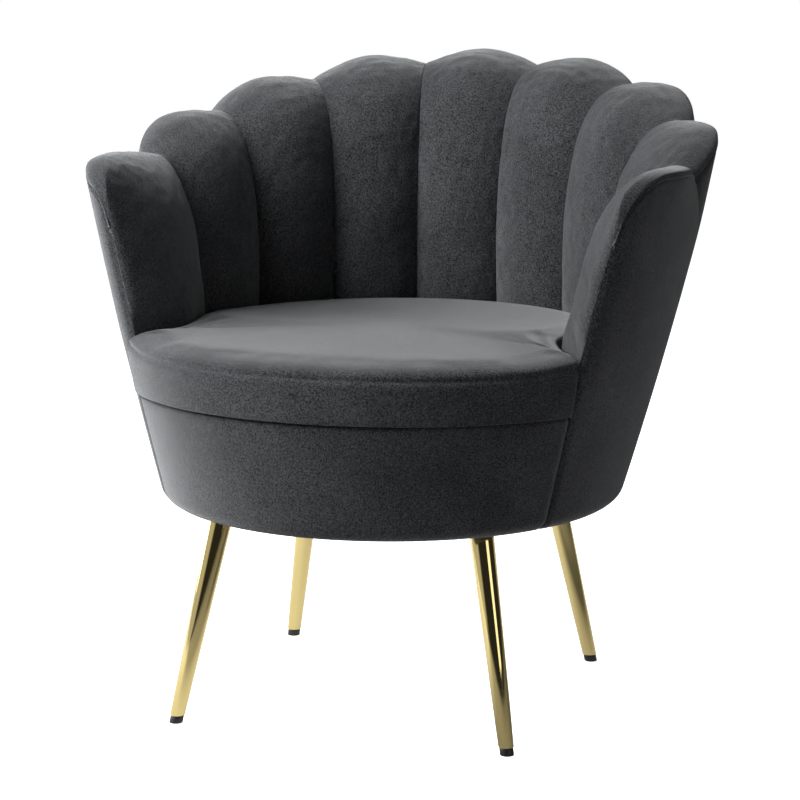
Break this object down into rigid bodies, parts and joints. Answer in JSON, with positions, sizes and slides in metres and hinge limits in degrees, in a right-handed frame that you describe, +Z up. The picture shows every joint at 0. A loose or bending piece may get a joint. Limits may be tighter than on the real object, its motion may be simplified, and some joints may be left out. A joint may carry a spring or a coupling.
{
  "type": "tub chair",
  "caption": "Upholstered tub chair whose scalloped, channelled back wraps round into arms, with a loose boxed seat cushion on a round drum base and splayed, tapered metal legs.",
  "frame": {"origin": "on the floor, under the middle of the chair's bounding box", "axes": "+Z up; the chair faces -Y, +Y is its back and +X is the left of a person who sits in it"},
  "size_m": [0.7456, 0.731, 0.778],
  "materials": {
    "velvet": "short, dense grey velvet pile with a soft sheen",
    "foam": "open-cell upholstery foam, entered as fabric",
    "plywood": "unfinished plywood",
    "fibreboard": "thin bent hardboard",
    "webbing": "woven elastic webbing",
    "felt": "thin black non-woven cloth",
    "leg_metal": "polished brass finish",
    "zinc_steel": "zinc plated",
    "glide_plastic": "moulded black plastic"
  },
  "bodies": {
    "frame": {"drum_front_cover": "velvet", "outside_cover": "velvet", "petal_pad_1": "velvet", "petal_pad_2": "velvet", "petal_pad_3": "velvet", "petal_pad_4": "velvet", "petal_pad_5": "velvet", "petal_pad_6": "velvet", "petal_pad_7": "velvet", "petal_pad_8": "velvet", "petal_pad_9": "velvet", "base_board": "plywood", "seat_ring": "plywood", "drum_post_1": "plywood", "drum_post_2": "plywood", "drum_post_3": "plywood", "drum_post_4": "plywood", "drum_post_5": "plywood", "drum_post_6": "plywood", "arm_rib_left": "plywood", "arm_rib_right": "plywood", "back_rib_1": "plywood", "back_rib_2": "plywood", "back_rib_3": "plywood", "back_rib_4": "plywood", "back_rib_5": "plywood", "back_rib_6": "plywood", "back_rib_7": "plywood", "back_rib_8": "plywood", "drum_front_board": "fibreboard", "inside_back_board": "fibreboard", "outside_back_board": "fibreboard", "cross_strap_1": "webbing", "cross_strap_2": "webbing", "cross_strap_3": "webbing", "long_strap_1": "webbing", "long_strap_2": "webbing", "long_strap_3": "webbing", "dust_cover": "felt", "seat_deck": "felt", "leg_front_left": "leg_metal", "leg_glide_front_left": "glide_plastic", "leg_stud_front_left": "zinc_steel", "leg_nut_front_left": "zinc_steel", "leg_front_right": "leg_metal", "leg_glide_front_right": "glide_plastic", "leg_stud_front_right": "zinc_steel", "leg_nut_front_right": "zinc_steel", "leg_back_left": "leg_metal", "leg_glide_back_left": "glide_plastic", "leg_stud_back_left": "zinc_steel", "leg_nut_back_left": "zinc_steel", "leg_back_right": "leg_metal", "leg_glide_back_right": "glide_plastic", "leg_stud_back_right": "zinc_steel", "leg_nut_back_right": "zinc_steel"},
    "cushion": {"cushion_foam": "foam", "cushion_top_panel": "velvet", "cushion_boxing": "velvet", "cushion_bottom_panel": "velvet"}
  },
  "joints": [
    {"name": "cushion_lift", "type": "slide", "parent": "frame", "child": "cushion", "axis": [0, 0, 1], "range_m": [0, 0.4]}
  ]
}
